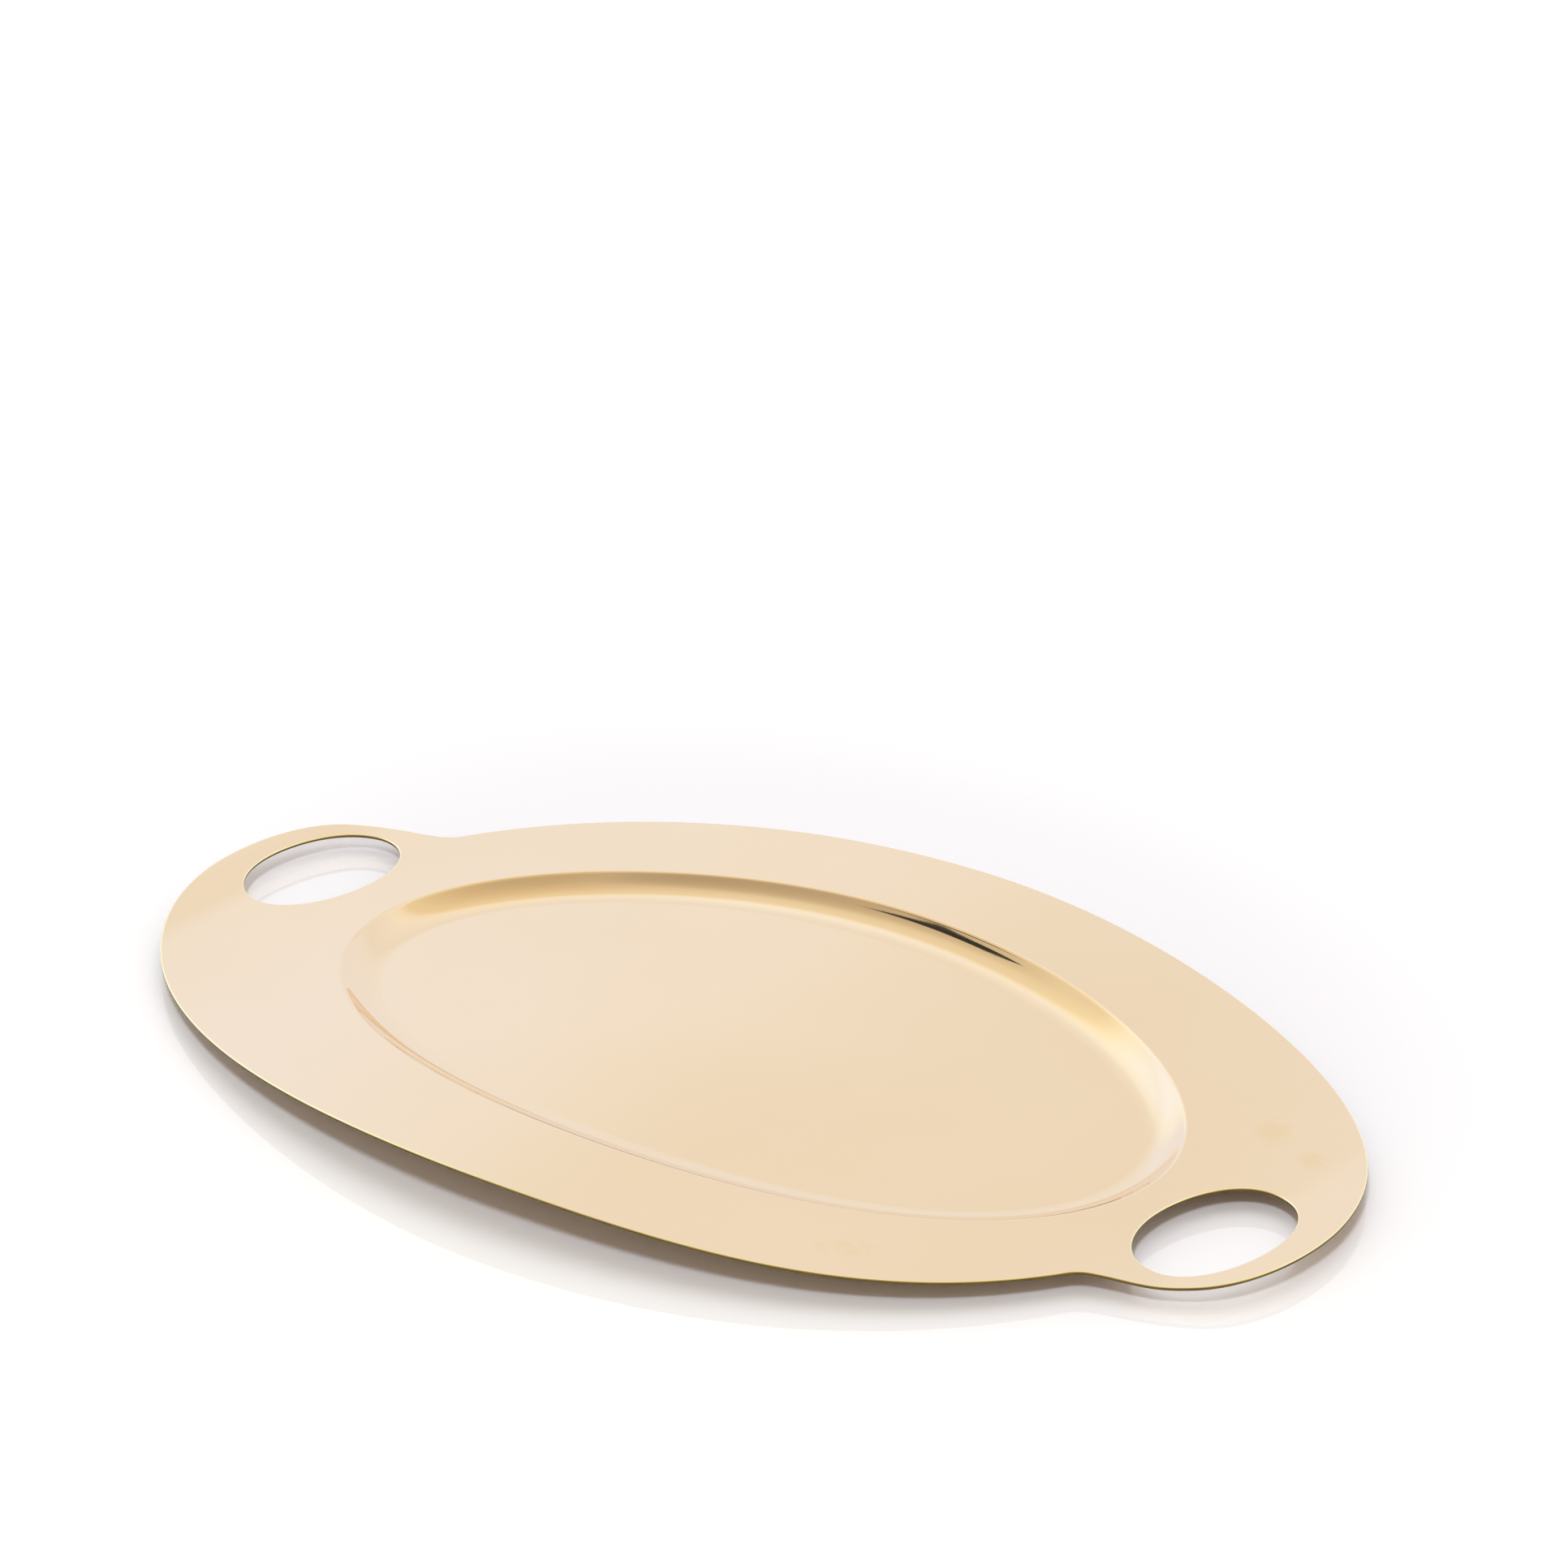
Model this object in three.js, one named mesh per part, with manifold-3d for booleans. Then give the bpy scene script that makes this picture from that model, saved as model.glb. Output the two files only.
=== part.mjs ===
// An oval serving tray pressed from one sheet of brass, standing on four small rest pads.
// Millimetres, +Z up. The origin is on the table, under the middle of the tray; +X runs along the tray.
import * as THREE from 'three';
import * as BufferGeometryUtils from 'three/addons/utils/BufferGeometryUtils.js';
import Module from 'manifold-3d';

const wasm = await Module();
wasm.setup();

// ---- Driving dimensions ----
const SHEET = 1.5; // thickness of the brass sheet
const RIM_Z = 8.3; // top of the rim where the arch has run out, beside the handles
const ARCH_RISE = 10.6; // how far the middle of the tray stands above its ends
const ARCH_HALF_LENGTH = 225; // the arch runs out level this far from the middle
const ARCH_TURN = THREE.MathUtils.degToRad(-11); // the arch runs from one handle to the other
const TIP_LIFT = 2; // the outer edge of each handle curls up a little
const TIP_LIFT_START = 215;
const TIP_LIFT_LENGTH = 35;

const WELL_X = 4.6; // the well is pressed slightly nearer the right handle
const WELL_LENGTH = 351; // the well at its lip, where the rim starts to fall
const WELL_WIDTH = 203;
const WELL_TURN = THREE.MathUtils.degToRad(2.6); // the well's long axis against the tray's
const WELL_DEPTH = 7;
const WALL_WIDTH = 16; // the sloping wall, seen from above
const LIP_BEND = 0.16; // share of the wall's width taken by the tight bend at its lip
const FOOT_BEND = 0.55; // and by the wide bend at its foot

const HANDLE_HOLE_X = 212; // middle of the right finger hole; the left one is turned half round
const HANDLE_HOLE_Y = -19;
const HANDLE_HOLE_LENGTH = 68;
const HANDLE_HOLE_WIDTH = 44;
const HANDLE_HOLE_TURN = THREE.MathUtils.degToRad(70);
const HANDLE_HOLE_SQUARENESS = 2.1; // 2 is a plain ellipse
const HANDLE_HOLE_SIDES = 40;

// The pads stand near the two ends of the well's floor, all under the same height of the arch.
const PADS = [
  { name: 'rest_pad_right_back', x: 144, y: 24 },
  { name: 'rest_pad_right_front', x: 133, y: -32 },
  { name: 'rest_pad_left_back', x: -133, y: 32 },
  { name: 'rest_pad_left_front', x: -144, y: -24 },
];
const PAD_DIAMETER = 12;
const PAD_SIDES = 24;
const FIT_GAP = 0.3; // left between the pads and the sheet they are stuck to

// Half of the rim's outline, as four Bezier curves that start at the notch beside the right handle,
// run along the near side and round the left handle to the notch beside it.
// The other half is the same, turned half round.
const HALF_OUTLINE = [
  { curve: [[182, -67], [130.5, -128.5], [56, -142.5], [-22, -142.5]], steps: 16 },
  { curve: [[-22, -142.5], [-127, -142.5], [-250, -94.5], [-250, -5]], steps: 22 },
  { curve: [[-250, -5], [-250, 13], [-242, 42.5], [-223, 54]], steps: 7 },
  { curve: [[-223, 54], [-205.5, 64.5], [-199, 61], [-182, 67]], steps: 5 },
];
const FLOOR_RINGS = 4;
const WALL_STATIONS = [0.8, 0.6, 0.4, 0.16, 0.08, 0]; // shares of the wall's width, 1 at its foot and 0 at its lip
const RIM_RINGS = 2;

// ---- Surface of the sheet ----
// Rises from 0 to 1 with a level start and a level end.
function softStep(fraction) {
  const t = THREE.MathUtils.clamp(fraction, 0, 1);
  return t * t * (3 - 2 * t);
}

function rimTop(x, y) {
  const reach = Math.abs(x * Math.cos(ARCH_TURN) + y * Math.sin(ARCH_TURN));
  const arch = ARCH_RISE * Math.cos((Math.min(reach / ARCH_HALF_LENGTH, 1) * Math.PI) / 2) ** 2;
  return RIM_Z + arch + TIP_LIFT * softStep((reach - TIP_LIFT_START) / TIP_LIFT_LENGTH);
}

// Share of the well's depth lost across its wall, from 0 at the lip to 1 at the foot,
// and its rate: a tight bend, a straight part and a wide bend.
const STEEPEST = 1 / (1 - LIP_BEND / 2 - FOOT_BEND / 2);

function wallDrop(across) {
  if (across < LIP_BEND) return (STEEPEST * across ** 2) / (2 * LIP_BEND);
  if (across < 1 - FOOT_BEND) return STEEPEST * (across - LIP_BEND / 2);
  return 1 - (STEEPEST * (1 - across) ** 2) / (2 * FOOT_BEND);
}

function wallRate(across) {
  return STEEPEST * Math.min(across / LIP_BEND, 1, (1 - across) / FOOT_BEND);
}

function halfOutlinePoints() {
  return HALF_OUTLINE.flatMap(({ curve, steps }) => {
    const bezier = new THREE.CubicBezierCurve(...curve.map(([x, y]) => new THREE.Vector2(x, y)));
    return bezier.getPoints(steps).slice(0, steps);
  });
}

function outlinePoints() {
  const half = halfOutlinePoints();
  return [...half, ...half.map((point) => point.clone().negate())].reverse();
}

// A point of the well's oval, `inset` millimetres inside the lip, at an angle around it.
function wellPoint(angle, inset) {
  const point = new THREE.Vector2(
    (WELL_LENGTH / 2 - inset) * Math.cos(angle),
    (WELL_WIDTH / 2 - inset) * Math.sin(angle),
  );
  point.rotateAround(new THREE.Vector2(), WELL_TURN);
  point.x += WELL_X;
  return point;
}

// The angle round the well's oval that faces a point of the outline.
function wellAngle(point) {
  const turned = new THREE.Vector2(point.x - WELL_X, point.y);
  turned.rotateAround(new THREE.Vector2(), -WELL_TURN);
  return Math.atan2(turned.y / WELL_WIDTH, turned.x / WELL_LENGTH);
}

// Rings of the top surface from the innermost floor ring out to the rim's edge.
// Each ring's point also carries the slope across the wall, which thickens the sheet's upright measure.
function surfaceRings(outline) {
  const angles = outline.map(wellAngle);
  const rings = [];
  for (let i = 1; i <= FLOOR_RINGS; i++) {
    const scale = i / FLOOR_RINGS;
    rings.push(angles.map((angle) => {
      const point = new THREE.Vector2(WELL_X, 0).lerp(wellPoint(angle, WALL_WIDTH), scale);
      return { x: point.x, y: point.y, z: rimTop(point.x, point.y) - WELL_DEPTH, slope: 0 };
    }));
  }
  for (const across of WALL_STATIONS) {
    const slope = (WELL_DEPTH / WALL_WIDTH) * wallRate(across);
    rings.push(angles.map((angle) => {
      const point = wellPoint(angle, WALL_WIDTH * across);
      const z = rimTop(point.x, point.y) - WELL_DEPTH * wallDrop(across);
      return { x: point.x, y: point.y, z, slope };
    }));
  }
  for (let i = 1; i <= RIM_RINGS; i++) {
    rings.push(angles.map((angle, k) => {
      const point = wellPoint(angle, 0).lerp(outline[k], i / RIM_RINGS);
      return { x: point.x, y: point.y, z: rimTop(point.x, point.y), slope: 0 };
    }));
  }
  return rings;
}

// ---- Meshes and solids ----
function toSolid(geometry) {
  const bare = geometry.clone();
  bare.deleteAttribute('normal');
  bare.deleteAttribute('uv');
  const merged = BufferGeometryUtils.mergeVertices(bare);
  return new wasm.Manifold(new wasm.Mesh({
    numProp: 3,
    vertProperties: new Float32Array(merged.attributes.position.array),
    triVerts: new Uint32Array(merged.index.array),
  }));
}

function toGeometry(solid) {
  const mesh = solid.getMesh();
  const geometry = new THREE.BufferGeometry();
  geometry.setAttribute('position', new THREE.BufferAttribute(new Float32Array(mesh.vertProperties), 3));
  geometry.setIndex(new THREE.BufferAttribute(new Uint32Array(mesh.triVerts), 1));
  geometry.computeVertexNormals();
  return geometry;
}

// The whole sheet before its finger holes are cut: a top face, an under face and the edge between them.
function sheetGeometry() {
  const outline = outlinePoints();
  const rings = surfaceRings(outline);
  const count = outline.length;
  const positions = [];
  const triangles = [];
  const perFace = 1 + rings.length * count;
  const centreZ = rimTop(WELL_X, 0) - WELL_DEPTH;

  const addFace = (drop) => {
    positions.push(WELL_X, 0, centreZ - (drop ? SHEET : 0));
    for (const ring of rings) {
      for (const { x, y, z, slope } of ring) {
        positions.push(x, y, z - (drop ? SHEET * Math.hypot(1, slope) : 0));
      }
    }
  };
  const vertex = (face, ring, k) => face * perFace + 1 + ring * count + (k % count);
  const addQuad = (a, b, c, d) => triangles.push(a, b, c, a, c, d);

  addFace(false);
  addFace(true);
  for (let k = 0; k < count; k++) {
    triangles.push(0, vertex(0, 0, k), vertex(0, 0, k + 1));
    triangles.push(perFace, vertex(1, 0, k + 1), vertex(1, 0, k));
    for (let r = 0; r + 1 < rings.length; r++) {
      addQuad(vertex(0, r, k), vertex(0, r + 1, k), vertex(0, r + 1, k + 1), vertex(0, r, k + 1));
      addQuad(vertex(1, r, k), vertex(1, r, k + 1), vertex(1, r + 1, k + 1), vertex(1, r + 1, k));
    }
    const edge = rings.length - 1;
    addQuad(vertex(0, edge, k), vertex(1, edge, k), vertex(1, edge, k + 1), vertex(0, edge, k + 1));
  }
  const geometry = new THREE.BufferGeometry();
  geometry.setAttribute('position', new THREE.Float32BufferAttribute(positions, 3));
  geometry.setIndex(triangles);
  return geometry;
}

function handleHoleCutter(side) {
  const shape = new THREE.Shape();
  const power = 2 / HANDLE_HOLE_SQUARENESS;
  for (let i = 0; i < HANDLE_HOLE_SIDES; i++) {
    const angle = (2 * Math.PI * i) / HANDLE_HOLE_SIDES;
    const along = Math.sign(Math.cos(angle)) * Math.abs(Math.cos(angle)) ** power;
    const across = Math.sign(Math.sin(angle)) * Math.abs(Math.sin(angle)) ** power;
    const point = new THREE.Vector2((along * HANDLE_HOLE_LENGTH) / 2, (across * HANDLE_HOLE_WIDTH) / 2);
    point.rotateAround(new THREE.Vector2(), HANDLE_HOLE_TURN);
    if (i === 0) shape.moveTo(point.x, point.y);
    else shape.lineTo(point.x, point.y);
  }
  shape.closePath();
  const cutter = new THREE.ExtrudeGeometry(shape, { depth: RIM_Z + ARCH_RISE, bevelEnabled: false });
  if (side < 0) cutter.rotateZ(Math.PI);
  cutter.translate(side * HANDLE_HOLE_X, side * HANDLE_HOLE_Y, 0);
  return cutter;
}

function trayBody() {
  let solid = toSolid(sheetGeometry());
  for (const side of [1, -1]) solid = solid.subtract(toSolid(handleHoleCutter(side)));
  const brass = new THREE.MeshStandardMaterial({ color: 0xe3c48c, roughness: 0.06, metalness: 1 });
  const mesh = new THREE.Mesh(toGeometry(solid), brass);
  mesh.name = 'tray_body';
  return mesh;
}

// A low round pad: flat on the table, its top following the arched underside of the floor.
function restPad(name, x, y) {
  const radius = PAD_DIAMETER / 2;
  const geometry = new THREE.CylinderGeometry(radius, radius, 1, PAD_SIDES);
  geometry.rotateX(Math.PI / 2);
  geometry.translate(0, 0, 0.5);
  const position = geometry.attributes.position;
  for (let i = 0; i < position.count; i++) {
    const underside = rimTop(x + position.getX(i), y + position.getY(i)) - WELL_DEPTH - SHEET;
    position.setZ(i, position.getZ(i) * (underside - FIT_GAP));
  }
  geometry.computeVertexNormals();
  const rubber = new THREE.MeshStandardMaterial({ color: 0x4a4946, roughness: 0.7, metalness: 0 });
  const mesh = new THREE.Mesh(geometry, rubber);
  mesh.name = name;
  mesh.position.set(x, y, 0);
  return mesh;
}

const tray = new THREE.Group();
tray.add(trayBody());
for (const { name, x, y } of PADS) tray.add(restPad(name, x, y));

export default tray;
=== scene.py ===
import math

import bpy
import numpy as np
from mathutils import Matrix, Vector
from mathutils.geometry import delaunay_2d_cdt


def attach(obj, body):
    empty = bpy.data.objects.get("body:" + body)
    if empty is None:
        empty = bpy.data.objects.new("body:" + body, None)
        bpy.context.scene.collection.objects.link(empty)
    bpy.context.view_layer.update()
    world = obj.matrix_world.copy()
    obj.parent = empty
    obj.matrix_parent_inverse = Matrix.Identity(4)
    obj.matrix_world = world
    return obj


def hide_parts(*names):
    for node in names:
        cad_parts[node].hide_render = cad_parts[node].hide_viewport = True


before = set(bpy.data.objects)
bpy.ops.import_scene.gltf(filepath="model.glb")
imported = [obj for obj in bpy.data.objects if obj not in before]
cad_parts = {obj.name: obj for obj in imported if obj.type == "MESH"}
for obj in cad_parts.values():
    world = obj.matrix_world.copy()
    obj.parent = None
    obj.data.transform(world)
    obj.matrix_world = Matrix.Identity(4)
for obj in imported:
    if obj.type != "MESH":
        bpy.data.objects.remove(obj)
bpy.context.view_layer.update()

# An oval brass serving tray: one pressed, mirror-polished sheet on four small rest pads.
# The surface is worked out in millimetres, as in the CAD part, and scaled to metres when meshed.
MM = 0.001

# ---- The sheet ----
SHEET = 1.5
RIM_Z = 8.3  # top of the rim where the arch has run out
ARCH_RISE = 10.6
ARCH_HALF_LENGTH = 225
ARCH_TURN = math.radians(-11)
TIP_LIFT = 2
TIP_LIFT_START = 215
TIP_LIFT_LENGTH = 35

# ---- The well ----
WELL_X = 4.6  # the well was pressed slightly nearer the right handle
WELL_HALF_LENGTH = 175.5
WELL_HALF_WIDTH = 101.5
WELL_TURN = math.radians(2.6)
WELL_DEPTH = 7
WALL_WIDTH = 17
LIP_BEND = 0.10  # share of the wall's width taken by the tight bend at its lip
FOOT_BEND = 0.84  # and by the wide bend at its foot

# ---- The finger holes ----
HOLE_X = 212
HOLE_Y = -19
HOLE_HALF_LENGTH = 34
HOLE_HALF_WIDTH = 22
HOLE_TURN = math.radians(70)
HOLE_SQUARENESS = 2.1

# ---- Half of the outline, as Bezier curves; the other half is turned half round ----
HALF_OUTLINE = [
    [(182, -67), (130.5, -128.5), (56, -142.5), (-22, -142.5)],
    [(-22, -142.5), (-127, -142.5), (-250, -94.5), (-250, -5)],
    [(-250, -5), (-250, 13), (-242, 42.5), (-223, 54)],
    [(-223, 54), (-205.5, 64.5), (-199, 61), (-182, 67)],
]
NOTCH_RADIUS = 2.5  # the notch beside each handle is filed smooth

# ---- Fineness of the mesh ----
EDGE_STEP = 1.6  # along the outline
HOLE_STEP = 1.0
OUTLINE_SAMPLES = 400  # along each curve of the outline, before it is spaced evenly
HOLE_SAMPLES = 2000
WALL_STEP = 1.0  # across the wall of the well
WALL_MARGIN = 3  # the wall's fine ovals run on this far past its lip and its foot
WALL_SIDES = 420
GRID_STEP = 4.0
GRID_REACH = (252, 145)  # half the length and width that the grid covers, a little more than the tray
GRID_CLEARANCE = 0.6  # grid points keep this share of a step away from the edges
HALVINGS = 40  # of the search for how far inside the well's lip a point lies
ARRIS_RADIUS = 0.55  # both arrises of the sheet's edge are rounded
ARRIS_STEPS = 4

# ---- Rest pads ----
PADS = {
    "rest_pad_right_back": (144, 24),
    "rest_pad_right_front": (133, -32),
    "rest_pad_left_back": (-133, 32),
    "rest_pad_left_front": (-144, -24),
}
PAD_RADIUS = 6
PAD_SIDES = 48
PAD_FIT_GAP = 0.3
PAD_ARRIS = 0.5
PAD_PROFILE = [  # radius, share of the pad's height, and tilt of the surface in degrees
    (PAD_RADIUS - PAD_ARRIS, 0.0, -60),
    (PAD_RADIUS, 0.35, -10),
    (PAD_RADIUS, 0.75, 10),
    (PAD_RADIUS - PAD_ARRIS, 1.0, 60),
]


# ---- Surface of the sheet ----
def soft_step(fraction):
    """Rises from 0 to 1 with a level start and a level end."""
    t = np.clip(fraction, 0, 1)
    return t * t * (3 - 2 * t)


def turned(x, y, angle):
    """The point x, y turned about the origin."""
    return x * math.cos(angle) - y * math.sin(angle), x * math.sin(angle) + y * math.cos(angle)


def rim_top(x, y):
    """Height of the rim's surface, which also carries on over the well as if it weren't pressed."""
    reach = np.abs(x * math.cos(ARCH_TURN) + y * math.sin(ARCH_TURN))
    arch = ARCH_RISE * np.cos(np.minimum(reach / ARCH_HALF_LENGTH, 1) * math.pi / 2) ** 2
    return RIM_Z + arch + TIP_LIFT * soft_step((reach - TIP_LIFT_START) / TIP_LIFT_LENGTH)


def well_inset(x, y):
    """How far inside the lip of the well's oval each point lies, below 0 outside it."""
    u, v = turned(x - WELL_X, y, -WELL_TURN)
    low = np.full_like(u, -400.0)
    high = np.full_like(u, WELL_HALF_WIDTH - 0.01)
    for _ in range(HALVINGS):
        middle = (low + high) / 2
        outside = (u / (WELL_HALF_LENGTH - middle)) ** 2 + (v / (WELL_HALF_WIDTH - middle)) ** 2 > 1
        high = np.where(outside, middle, high)
        low = np.where(outside, low, middle)
    return (low + high) / 2


def wall_drop(fraction):
    """Share of the well's depth lost across its wall: a tight bend, a straight part and a wide bend."""
    t = np.clip(fraction, 0, 1)
    steepest = 1 / (1 - LIP_BEND / 2 - FOOT_BEND / 2)
    lip = steepest * t**2 / (2 * LIP_BEND)
    straight = steepest * (t - LIP_BEND / 2)
    foot = 1 - steepest * (1 - t) ** 2 / (2 * FOOT_BEND)
    return np.where(t < LIP_BEND, lip, np.where(t < 1 - FOOT_BEND, straight, foot))


def sheet_top(x, y):
    """Height of the sheet's top face."""
    return rim_top(x, y) - WELL_DEPTH * wall_drop(well_inset(x, y) / WALL_WIDTH)


def sheet_normal(x, y):
    """Unit normal of the top face, from the slopes across a short step."""
    step = 0.05
    slope_x = (sheet_top(x + step, y) - sheet_top(x - step, y)) / (2 * step)
    slope_y = (sheet_top(x, y + step) - sheet_top(x, y - step)) / (2 * step)
    normal = np.stack([-slope_x, -slope_y, np.ones_like(x)], axis=1)
    return normal / np.linalg.norm(normal, axis=1)[:, None]


# ---- Outlines ----
def evenly_spaced(loop, step):
    """The closed loop again, with points the same distance apart."""
    closed = np.vstack([loop, loop[:1]])
    run = np.concatenate([[0], np.cumsum(np.linalg.norm(np.diff(closed, axis=0), axis=1))])
    places = np.linspace(0, run[-1], int(run[-1] / step), endpoint=False)
    return np.stack([np.interp(places, run, closed[:, k]) for k in (0, 1)], axis=1)


def outward_normals(loop):
    """Normals of a counter-clockwise loop, pointing away from what it encloses."""
    along = np.roll(loop, -1, axis=0) - np.roll(loop, 1, axis=0)
    normal = np.stack([along[:, 1], -along[:, 0]], axis=1)
    return normal / np.linalg.norm(normal, axis=1)[:, None]


def eased_corners(loop, corners, radius, rounds=12):
    """Smooths the loop near each corner, and leaves the rest of it as it is."""
    loop = loop.copy()
    near = np.zeros(len(loop))
    for corner in corners:
        near = np.maximum(near, 1 - soft_step(np.linalg.norm(loop - corner, axis=1) / (2 * radius)))
    for _ in range(rounds):
        middle = (np.roll(loop, 1, axis=0) + np.roll(loop, -1, axis=0)) / 2
        loop += near[:, None] * 0.5 * (middle - loop)
    return loop


def outline_loop():
    """The tray's outline, counter-clockwise."""
    t = np.linspace(0, 1, OUTLINE_SAMPLES, endpoint=False)[:, None]
    half = []
    for curve in HALF_OUTLINE:
        a, b, c, d = (np.array(point, float) for point in curve)
        half.append(a * (1 - t) ** 3 + 3 * b * t * (1 - t) ** 2 + 3 * c * t**2 * (1 - t) + d * t**3)
    half = np.vstack(half)
    loop = evenly_spaced(np.vstack([half, -half])[::-1], EDGE_STEP)
    notch = np.array(HALF_OUTLINE[0][0], float)
    return eased_corners(loop, [notch, -notch], NOTCH_RADIUS)


def hole_loop(side):
    """A finger hole's outline: 1 for the right one, -1 for the left one."""
    angle = np.linspace(0, 2 * math.pi, HOLE_SAMPLES, endpoint=False)
    power = 2 / HOLE_SQUARENESS
    along = HOLE_HALF_LENGTH * np.sign(np.cos(angle)) * np.abs(np.cos(angle)) ** power
    across = HOLE_HALF_WIDTH * np.sign(np.sin(angle)) * np.abs(np.sin(angle)) ** power
    x, y = turned(along, across, HOLE_TURN)
    return evenly_spaced(np.stack([x + HOLE_X, y + HOLE_Y], axis=1) * side, HOLE_STEP)


def inside(points, loop):
    """Whether each point is inside the closed loop."""
    x, y = points[:, 0], points[:, 1]
    result = np.zeros(len(points), bool)
    ends = np.roll(loop, -1, axis=0)
    for (x1, y1), (x2, y2) in zip(loop, ends):
        crosses = (y1 > y) != (y2 > y)
        if y1 != y2:
            result ^= crosses & (x < (x2 - x1) * (y - y1) / (y2 - y1) + x1)
    return result


def clearance(points, loop):
    """Distance from each point to the nearest point of the loop."""
    nearest = np.full(len(points), 1e9)
    for start in range(0, len(loop), 50):
        part = loop[start : start + 50]
        gap = np.linalg.norm(points[:, None, :] - part[None, :, :], axis=2).min(axis=1)
        nearest = np.minimum(nearest, gap)
    return nearest


# ---- Meshes ----
def make_mesh(name, points, faces, normals, materials, others=()):
    """A smooth-shaded mesh object from millimetres, with its own normals.
    The faces take the first material, except those numbered in each list of `others`."""
    mesh = bpy.data.meshes.new(name)
    mesh.from_pydata((np.asarray(points) * MM).tolist(), [], [list(face) for face in faces])
    mesh.polygons.foreach_set("use_smooth", [True] * len(mesh.polygons))
    mesh.normals_split_custom_set_from_vertices(np.asarray(normals).tolist())
    for material in materials:
        mesh.materials.append(material)
    for index, numbers in enumerate(others, start=1):
        for number in numbers:
            mesh.polygons[number].material_index = index
    made = bpy.data.objects.new(name, mesh)
    bpy.context.scene.collection.objects.link(made)
    return made


def well_rings():
    """Points on fine ovals across the wall of the well."""
    angle = np.linspace(0, 2 * math.pi, WALL_SIDES, endpoint=False)
    rings = []
    for inset in np.arange(-WALL_MARGIN, WALL_WIDTH + WALL_MARGIN + WALL_STEP, WALL_STEP):
        u = (WELL_HALF_LENGTH - inset) * np.cos(angle)
        v = (WELL_HALF_WIDTH - inset) * np.sin(angle)
        rings.append(np.stack(turned(u, v, WELL_TURN), axis=1) + (WELL_X, 0))
    return np.vstack(rings)


def grid_points(loops):
    """Points of a triangular grid over the flat parts of the sheet, clear of its edges and wall."""
    row = GRID_STEP * math.sqrt(3) / 2
    points = []
    half_length, half_width = GRID_REACH
    for j, y in enumerate(np.arange(-half_width, half_width + 1, row)):
        x = np.arange(-half_length, half_length + 1, GRID_STEP) + (j % 2) * GRID_STEP / 2
        points.append(np.stack([x, np.full_like(x, y)], axis=1))
    points = np.vstack(points)
    inset = well_inset(points[:, 0], points[:, 1])
    margin = WALL_MARGIN + GRID_STEP / 2
    keep = (inset < -margin) | (inset > WALL_WIDTH + margin)
    keep &= inside(points, loops[0])
    for hole in loops[1:]:
        keep &= ~inside(points, hole)
    points = points[keep]
    for loop in loops:
        points = points[clearance(points, loop) > GRID_STEP * GRID_CLEARANCE]
    return points


def edge_profile():
    """Steps round the sheet's edge from its top face to its under face: outwards, down, tilt."""
    steps = []
    for k in range(1, ARRIS_STEPS + 1):
        tilt = math.pi / 2 * k / ARRIS_STEPS
        out = ARRIS_RADIUS * math.sin(tilt)
        steps.append((out, ARRIS_RADIUS * (1 - math.cos(tilt)), tilt))
    return steps + [(out, SHEET - down, math.pi - tilt) for out, down, tilt in reversed(steps)]


def tray_mesh(polished, highlighted_arris, sheared_and_shaded):
    """The whole sheet: both faces, and its rounded edge round the outline and the finger holes."""
    outer = outline_loop()
    holes = [hole_loop(1), hole_loop(-1)]
    outer_normals = outward_normals(outer)
    hole_normals = [-outward_normals(hole) for hole in holes]  # away from the sheet's metal
    loops = [outer - ARRIS_RADIUS * outer_normals]
    loops += [hole - ARRIS_RADIUS * normal for hole, normal in zip(holes, hole_normals)]
    side_normals = [outer_normals] + hole_normals

    flat = np.vstack(loops + [well_rings(), grid_points(loops)])
    edges = []
    start = 0
    for loop in loops:
        count = len(loop)
        edges += [(start + k, start + (k + 1) % count) for k in range(count)]
        start += count
    found = delaunay_2d_cdt([Vector(point) for point in flat.tolist()], edges, [], 0, 1e-5)
    plan = np.array([tuple(point) for point in found[0]])
    triangles = np.array([face for face in found[2] if len(face) == 3])
    middles = plan[triangles].mean(axis=1)
    keep = inside(middles, loops[0])
    for hole in loops[1:]:
        keep &= ~inside(middles, hole)
    triangles = triangles[keep]

    x, y = plan[:, 0], plan[:, 1]
    normals = sheet_normal(x, y)
    top = np.stack([x, y, sheet_top(x, y)], axis=1)
    points = [top, top - SHEET * normals]
    point_normals = [normals, -normals]
    count = len(plan)
    faces = triangles.tolist() + (triangles[:, ::-1] + count).tolist()

    total = 2 * count
    start = 0
    arris_faces, cut_faces = [], []
    for loop, sides in zip(loops, side_normals):
        size = len(loop)
        base, up = top[start : start + size], normals[start : start + size]
        out = np.column_stack([sides, np.zeros(size)])
        out -= (out * up).sum(axis=1)[:, None] * up
        out /= np.linalg.norm(out, axis=1)[:, None]
        rows = [start]
        for outwards, down, tilt in edge_profile():
            points.append(base + outwards * out - down * up)
            point_normals.append(math.sin(tilt) * out + math.cos(tilt) * up)
            rows.append(total)
            total += size
        rows.append(count + start)
        # The outline runs counter-clockwise round the metal; a finger hole runs clockwise round it.
        along_metal = loop is loops[0]
        # The top arris takes the painted highlight, and the rest of the edge the dark colour that is
        # partly painted shade.
        for step, (a, b) in enumerate(zip(rows, rows[1:])):
            if step < ARRIS_STEPS - 1:
                arris_faces += range(len(faces), len(faces) + size)
            elif step < 2 * ARRIS_STEPS:
                cut_faces += range(len(faces), len(faces) + size)
            for k in range(size):
                n = (k + 1) % size
                quad = [a + k, b + k, b + n, a + n]
                faces.append(quad if along_metal else quad[::-1])
        start += size
    points, point_normals = np.vstack(points), np.vstack(point_normals)
    materials = [polished, highlighted_arris, sheared_and_shaded]
    return make_mesh("brass_sheet", points, faces, point_normals, materials, [arris_faces, cut_faces])


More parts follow.
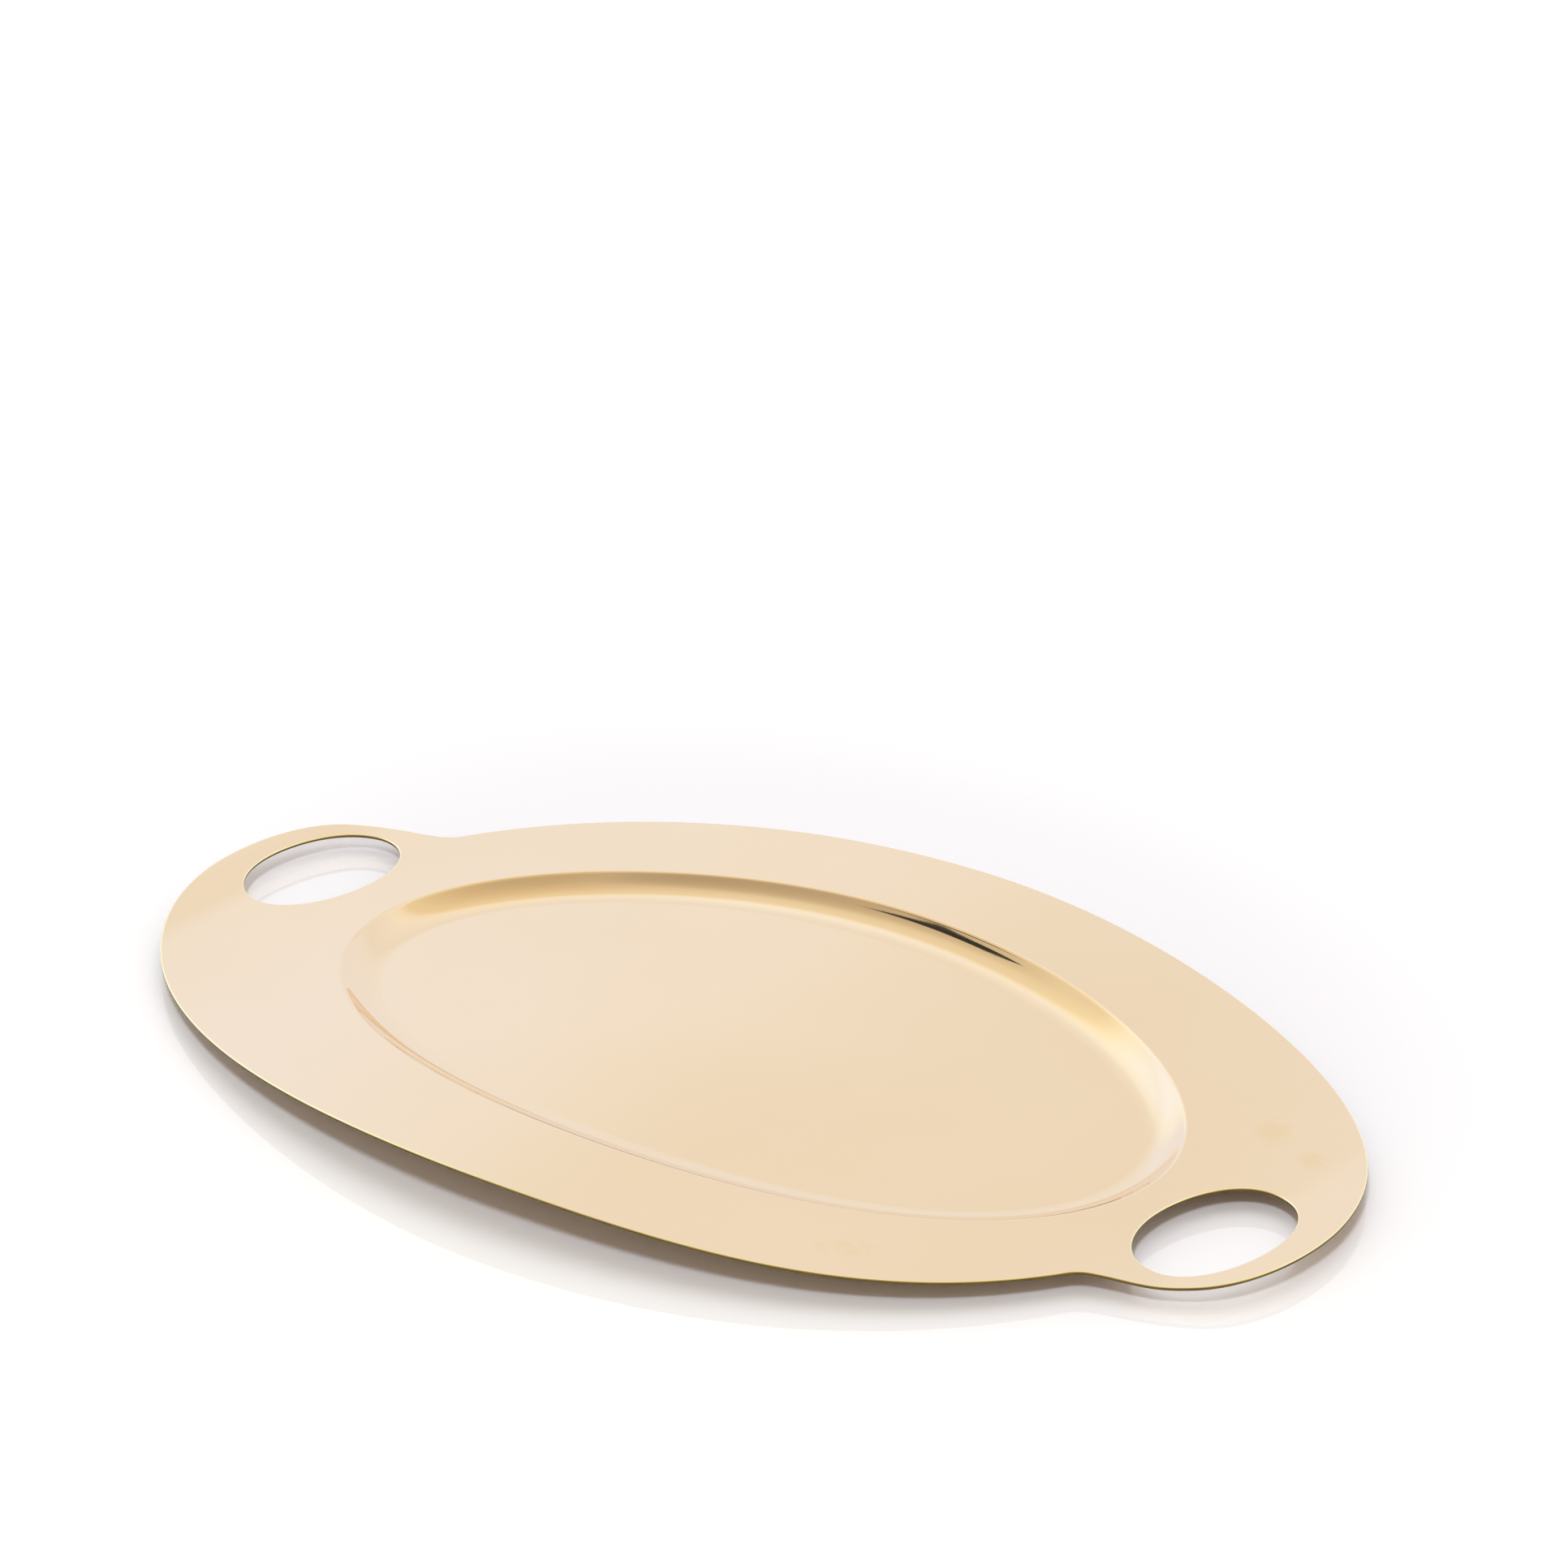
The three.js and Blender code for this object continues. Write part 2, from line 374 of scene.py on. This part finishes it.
def pad_mesh(name, x, y, material):
    """A round pad with eased edges; its top follows the arched underside of the floor."""
    angle = np.linspace(0, 2 * math.pi, PAD_SIDES, endpoint=False)
    ring = np.stack([np.cos(angle), np.sin(angle)], axis=1)
    points, normals = [], []
    for radius, share, tilt in PAD_PROFILE:
        px, py = x + radius * ring[:, 0], y + radius * ring[:, 1]
        height = rim_top(px, py) - WELL_DEPTH - SHEET - PAD_FIT_GAP
        points.append(np.stack([px, py, share * height], axis=1))
        lean = math.radians(tilt)
        normals.append(np.column_stack([ring * math.cos(lean), np.full(PAD_SIDES, math.sin(lean))]))
    faces = []
    for level in range(len(PAD_PROFILE) - 1):
        for k in range(PAD_SIDES):
            n = (k + 1) % PAD_SIDES
            a, b = level * PAD_SIDES, (level + 1) * PAD_SIDES
            faces.append([a + k, a + n, b + n, b + k])
    faces.append(list(range(PAD_SIDES))[::-1])
    faces.append([(len(PAD_PROFILE) - 1) * PAD_SIDES + k for k in range(PAD_SIDES)])
    return make_mesh(name, np.vstack(points), faces, np.vstack(normals), [material])


# ---- Materials ----
def new_material(name):
    material = bpy.data.materials.new(name)
    material.use_nodes = True
    nodes, links = material.node_tree.nodes, material.node_tree.links
    return material, nodes, links, nodes["Principled BSDF"]


def grain_noise(nodes, links, scale):
    place = nodes.new("ShaderNodeTexCoord")
    grain = nodes.new("ShaderNodeTexNoise")
    grain.inputs["Scale"].default_value = scale
    links.new(place.outputs["Object"], grain.inputs["Vector"])
    return grain.outputs["Fac"]


def tint_by(nodes, links, shader, factor, low, high):
    """The shader's colour runs from `low` to `high` with the factor."""
    tint = nodes.new("ShaderNodeMix")
    tint.data_type = "RGBA"
    tint.inputs["A"].default_value = (*low, 1)
    tint.inputs["B"].default_value = (*high, 1)
    links.new(factor, tint.inputs["Factor"])
    links.new(tint.outputs["Result"], shader.inputs["Base Color"])


SMUDGES = [  # finger marks left on the polish: x, y and radius in millimetres
    (200, 49, 7),
    (220, 41, 5),
    (102, -106, 5),
    (108, -103, 5),
    (114, -99, 4),
]


def brass_material():
    """Mirror-polished brass, with faint changes of tint, a few finger marks and fine wiping lines."""
    material, nodes, links, shader = new_material("polished_brass")
    shader.inputs["Metallic"].default_value = 1
    place = nodes.new("ShaderNodeTexCoord")

    def noise(scale, detail, stretch=(1, 1, 1)):
        shape = nodes.new("ShaderNodeMapping")
        shape.inputs["Scale"].default_value = stretch
        links.new(place.outputs["Object"], shape.inputs["Vector"])
        made = nodes.new("ShaderNodeTexNoise")
        made.inputs["Scale"].default_value = scale
        made.inputs["Detail"].default_value = detail
        links.new(shape.outputs["Vector"], made.inputs["Vector"])
        return made.outputs["Fac"]

    def spread(source, low, high, to_low, to_high):
        made = nodes.new("ShaderNodeMapRange")
        for key, value in zip(("From Min", "From Max", "To Min", "To Max"), (low, high, to_low, to_high)):
            made.inputs[key].default_value = value
        links.new(source, made.inputs["Value"])
        return made.outputs["Result"]

    def combine(operation, a, b):
        made = nodes.new("ShaderNodeMath")
        made.operation = operation
        links.new(a, made.inputs[0])
        links.new(b, made.inputs[1])
        return made.outputs["Value"]

    def blend(factor, a, b):
        made = nodes.new("ShaderNodeMix")
        made.data_type = "RGBA"
        for socket, color in (("A", a), ("B", b)):
            if isinstance(color, tuple):
                made.inputs[socket].default_value = (*color, 1)
            else:
                links.new(color, made.inputs[socket])
        links.new(factor, made.inputs["Factor"])
        return made.outputs["Result"]

    def smudge(x, y, radius):
        """1 in the middle of a finger mark on the top face, fading to 0 past its ragged edge."""
        middle = nodes.new("ShaderNodeVectorMath")
        middle.operation = "DISTANCE"
        middle.inputs[1].default_value = (x * MM, y * MM, RIM_Z * MM)
        links.new(place.outputs["Object"], middle.inputs[0])
        ragged = combine("ADD", middle.outputs["Value"], ragged_edge)
        return spread(ragged, 0.4 * radius * MM, 1.4 * radius * MM, 0.5, 0)

    ragged_edge = spread(noise(220, 2), 0.3, 0.7, -2 * MM, 2 * MM)
    marks = smudge(*SMUDGES[0])
    for mark in SMUDGES[1:]:
        marks = combine("MAXIMUM", marks, smudge(*mark))

    sheet = blend(spread(noise(9, 3), 0.35, 0.65, 0, 1), (0.905, 0.745, 0.545), (0.893, 0.728, 0.518))
    links.new(blend(marks, sheet, (0.86, 0.67, 0.40)), shader.inputs["Base Color"])

    smear = spread(noise(26, 5), 0.62, 0.78, 0.025, 0.14)
    wiped = spread(noise(60, 4, stretch=(0.25, 4, 1)), 0.55, 0.80, 0.025, 0.09)
    finger = spread(marks, 0, 1, 0.02, 0.20)
    links.new(combine("MAXIMUM", combine("MAXIMUM", smear, wiped), finger), shader.inputs["Roughness"])

    bump = nodes.new("ShaderNodeBump")
    bump.inputs["Strength"].default_value = 0.05
    bump.inputs["Distance"].default_value = 0.0004
    links.new(noise(30, 1), bump.inputs["Height"])
    links.new(bump.outputs["Normal"], shader.inputs["Normal"])
    return material


def arris_painted_highlight_material():
    """The rounded top arris of the sheet, painted as a brighter, yellower line: a painted highlight."""
    material, nodes, links, shader = new_material("brass_arris_painted_highlight")
    shader.inputs["Metallic"].default_value = 1
    # Painted highlight: a brighter, yellower copy of the brass stands for the light caught along the
    # arris.
    shader.inputs["Base Color"].default_value = (1.0, 0.90, 0.55, 1)
    wear = nodes.new("ShaderNodeMapRange")
    wear.inputs["To Min"].default_value = 0.06
    wear.inputs["To Max"].default_value = 0.22
    links.new(grain_noise(nodes, links, 120), wear.inputs["Value"])
    links.new(wear.outputs["Result"], shader.inputs["Roughness"])
    return material


def sheared_shaded_edge_material():
    """The cut edge of the sheet, duller than its polished faces; its dark colour is partly the duller cut
    metal and partly painted shade.
    """
    material, nodes, links, shader = new_material("sheared_brass_edge_painted_shade")
    shader.inputs["Metallic"].default_value = 1
    shader.inputs["Roughness"].default_value = 0.34
    grain = grain_noise(nodes, links, 160)
    # Partly painted shade: the near-black tint also stands for the shadow along the edge's lower arris.
    tint_by(nodes, links, shader, grain, (0.10, 0.075, 0.025), (0.22, 0.17, 0.06))
    return material


def rubber_material():
    """Dark matt rubber with a fine grain."""
    material, nodes, links, shader = new_material("pad_rubber")
    shader.inputs["Roughness"].default_value = 0.7
    grain = grain_noise(nodes, links, 900)
    tint_by(nodes, links, shader, grain, (0.060, 0.058, 0.052), (0.085, 0.082, 0.074))
    bump = nodes.new("ShaderNodeBump")
    bump.inputs["Strength"].default_value = 0.3
    bump.inputs["Distance"].default_value = 0.0001
    links.new(grain, bump.inputs["Height"])
    links.new(bump.outputs["Normal"], shader.inputs["Normal"])
    return material


PAINTED_SHADE_REACH = (0.42, 0.30)  # half the length and width of the patch of painted shade round the tray, in metres
PAINTED_SHADE_SHIFT = 0.06  # its middle lies this far behind the tray's
# The table's colour inside the patch, greyer as painted shade, and its plain colour further out.
TABLE_NEAR_PAINTED_SHADE = (0.765, 0.755, 0.805)
TABLE_FAR = (0.93, 0.93, 0.93)


def floor_material():
    """A glossy white table with painted shade: its colour is a little greyer round the tray and behind it
    than further out.
    """
    material, nodes, links, shader = new_material("glossy_white_table")
    place = nodes.new("ShaderNodeTexCoord")
    shape = nodes.new("ShaderNodeMapping")
    shape.inputs["Location"].default_value = (0, -PAINTED_SHADE_SHIFT / PAINTED_SHADE_REACH[1], 0)
    shape.inputs["Scale"].default_value = (1 / PAINTED_SHADE_REACH[0], 1 / PAINTED_SHADE_REACH[1], 0)
    links.new(place.outputs["Object"], shape.inputs["Vector"])
    reach = nodes.new("ShaderNodeVectorMath")
    reach.operation = "LENGTH"
    links.new(shape.outputs["Vector"], reach.inputs[0])
    # The painted shade fades from the tray out across the patch.
    shade_fade = nodes.new("ShaderNodeValToRGB")
    shade_fade.color_ramp.interpolation = "EASE"
    shade_fade.color_ramp.elements[0].position = 0.45
    shade_fade.color_ramp.elements[0].color = (*TABLE_NEAR_PAINTED_SHADE, 1)
    shade_fade.color_ramp.elements[1].position = 1.0
    shade_fade.color_ramp.elements[1].color = (*TABLE_FAR, 1)
    links.new(reach.outputs["Value"], shade_fade.inputs["Fac"])
    links.new(shade_fade.outputs["Color"], shader.inputs["Base Color"])
    shader.inputs["Roughness"].default_value = 0.03
    shader.inputs["IOR"].default_value = 1.7
    return material


# ---- Camera ----
CAMERA_PLACE = (0.9056, -1.4214, 1.0714)
CAMERA_PITCH = math.radians(29.44)  # below the horizontal
CAMERA_HEADING = math.radians(31.98)  # turned from +Y towards -X
CAMERA_LENS = 120.4
SENSOR = 36


def make_camera():
    data = bpy.data.cameras.new("camera")
    data.lens = CAMERA_LENS
    data.sensor_width = SENSOR
    data.clip_start, data.clip_end = 0.05, 60
    camera = bpy.data.objects.new("camera", data)
    camera.location = CAMERA_PLACE
    camera.rotation_euler = (math.pi / 2 - CAMERA_PITCH, 0, CAMERA_HEADING)
    bpy.context.scene.collection.objects.link(camera)
    bpy.context.scene.camera = camera


# ---- Studio ----
FLOOR_HALF = 8.0


def make_floor():
    mesh = bpy.data.meshes.new("floor")
    corners = [(-FLOOR_HALF, -FLOOR_HALF, 0), (FLOOR_HALF, -FLOOR_HALF, 0),
               (FLOOR_HALF, FLOOR_HALF, 0), (-FLOOR_HALF, FLOOR_HALF, 0)]
    mesh.from_pydata(corners, [], [[0, 1, 2, 3]])
    mesh.materials.append(floor_material())
    floor = bpy.data.objects.new("floor", mesh)
    bpy.context.scene.collection.objects.link(floor)


LAMP_HEAD_ENDS = (Vector((-0.865, -0.46, 1.715)), Vector((-0.985, -0.33, 1.67)))
LAMP_HEAD_RADIUS = 0.075
# Each part of the room has a direction to its middle, and its colours by the cosine of the angle from it.
DIM_SIDE = Vector((0.206, -0.566, 0.799))  # a dim, warm part high on the near side
DIM_STOPS = [
    (0.25, (1.00, 1.00, 1.00)),
    (0.38, (1.04, 1.025, 0.98)),
    (0.43, (1.05, 1.02, 0.93)),
    (0.475, (1.03, 0.965, 0.80)),
    (0.525, (0.95, 0.84, 0.61)),
    (0.60, (0.92, 0.81, 0.575)),
    (0.68, (0.85, 0.73, 0.51)),
    (0.78, (0.78, 0.635, 0.43)),
    (0.875, (0.66, 0.545, 0.365)),
    (1.00, (0.56, 0.46, 0.30)),
]
SPOT_SIDE = Vector((-0.333, -0.310, 0.890))  # a darker patch near the top of the room
SPOT_STOPS = [(0.955, (1.00, 1.00, 1.00)), (0.985, (0.80, 0.79, 0.77)), (1.00, (0.74, 0.73, 0.71))]
WINDOW_SIDE = Vector((-0.78, 0.21, 0.59))  # and a brighter one high on the left
WINDOW_STOPS = [(0.90, (1.00, 1.00, 1.00)), (0.95, (1.09, 1.10, 1.00)), (0.99, (1.11, 1.16, 1.20))]
NEAR_SIDE = Vector((0.35, -0.937, 0))  # the dark part of the room low behind the camera
NEAR_STOPS = [(0.55, (1.00, 1.00, 1.00)), (0.78, (0.70, 0.61, 0.51)), (1.00, (0.55, 0.43, 0.32))]
HEIGHT_STOPS = [  # by the sine of the elevation, over the white surround
    (0.00, (0.95, 0.95, 0.98)),
    (0.34, (0.98, 0.985, 1.04)),
    (0.50, (0.985, 0.98, 1.00)),
    (0.60, (0.955, 0.935, 0.91)),
    (0.80, (1.00, 0.99, 0.97)),
]
SIDE_AXIS = Vector((0.8482, 0.5296, 0))  # from the cooler, brighter left of the studio to its right
SIDE_STOPS = [(-0.20, (1.01, 1.045, 1.15)), (-0.05, (1.00, 1.00, 1.00)), (0.20, (0.985, 0.975, 0.98))]


def make_world():
    """A white surround with a few dimmer, darker and brighter parts, as the brass mirrors them."""
    world = bpy.data.worlds.new("studio")
    world.use_nodes = True
    bpy.context.scene.world = world
    nodes, links = world.node_tree.nodes, world.node_tree.links
    background = nodes["Background"]
    place = nodes.new("ShaderNodeTexCoord")

    def towards(axis):
        dot = nodes.new("ShaderNodeVectorMath")
        dot.operation = "DOT_PRODUCT"
        dot.inputs[1].default_value = axis
        links.new(place.outputs["Generated"], dot.inputs[0])
        return dot.outputs["Value"]

    def ramp(value, stops):
        """Colours along a value from -1 to 1."""
        share = nodes.new("ShaderNodeMapRange")
        share.inputs["From Min"].default_value = -1
        share.inputs["From Max"].default_value = 1
        links.new(value, share.inputs["Value"])
        made = nodes.new("ShaderNodeValToRGB")
        elements = made.color_ramp.elements
        elements[0].position = (stops[0][0] + 1) / 2
        elements[0].color = (*stops[0][1], 1)
        elements[1].position = (stops[-1][0] + 1) / 2
        elements[1].color = (*stops[-1][1], 1)
        for position, color in stops[1:-1]:
            elements.new((position + 1) / 2).color = (*color, 1)
        links.new(share.outputs["Result"], made.inputs["Fac"])
        return made.outputs["Color"]

    def product(a, b):
        mix = nodes.new("ShaderNodeMix")
        mix.data_type = "RGBA"
        mix.blend_type = "MULTIPLY"
        mix.inputs["Factor"].default_value = 1
        links.new(a, mix.inputs["A"])
        links.new(b, mix.inputs["B"])
        return mix.outputs["Result"]

    up = ramp(towards((0, 0, 1)), HEIGHT_STOPS)
    sky = product(up, ramp(towards(SIDE_AXIS), SIDE_STOPS))
    parts = [(DIM_SIDE, DIM_STOPS), (SPOT_SIDE, SPOT_STOPS)]
    parts += [(WINDOW_SIDE, WINDOW_STOPS), (NEAR_SIDE, NEAR_STOPS)]
    for side, stops in parts:
        sky = product(sky, ramp(towards(side), stops))
    links.new(sky, background.inputs["Color"])
    background.inputs["Strength"].default_value = 1.0


def add_light(name, place, size, power):
    """A disk of light aimed at the tray, which brightens the table but isn't mirrored in the brass."""
    data = bpy.data.lights.new(name, "AREA")
    data.shape = "DISK"
    data.size = size
    data.energy = power
    data.color = (0.84, 0.92, 1.0)
    light = bpy.data.objects.new(name, data)
    light.location = place
    light.rotation_euler = (-light.location).to_track_quat("-Z", "Y").to_euler()
    light.visible_glossy = False
    bpy.context.scene.collection.objects.link(light)


def make_lights():
    # The key light is small, so that its shadow has a clear edge under the near rim.
    add_light("key_light", (0.85, -1.95, 3.6), size=0.7, power=72)
    add_light("overhead_light", (-0.4, 0.8, 2.6), size=2.4, power=20)


def make_lamp_head():
    """A black lamp head high on the left, seen only as a short dark streak in the well's far wall."""
    material, _, _, shader = new_material("lamp_black")
    shader.inputs["Base Color"].default_value = (0.01, 0.01, 0.01, 1)
    start, end = LAMP_HEAD_ENDS
    bpy.ops.mesh.primitive_cylinder_add(
        radius=LAMP_HEAD_RADIUS, depth=(end - start).length, location=(start + end) / 2)
    head = bpy.context.object
    head.name = "lamp_head"
    head.rotation_euler = (end - start).to_track_quat("Z", "Y").to_euler()
    head.data.materials.append(material)
    head.visible_shadow = False
    head.visible_diffuse = False


make_camera()
make_floor()
make_world()
make_lights()
make_lamp_head()
bpy.context.scene.view_settings.view_transform = "Standard"

brass = brass_material()
rubber = rubber_material()
tray = tray_mesh(brass, arris_painted_highlight_material(), sheared_shaded_edge_material())
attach(tray, "root")
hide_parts("tray_body")
for pad_name, (pad_x, pad_y) in PADS.items():
    pad = pad_mesh(pad_name + "_soft", pad_x, pad_y, rubber)
    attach(pad, "root")
    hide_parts(pad_name)
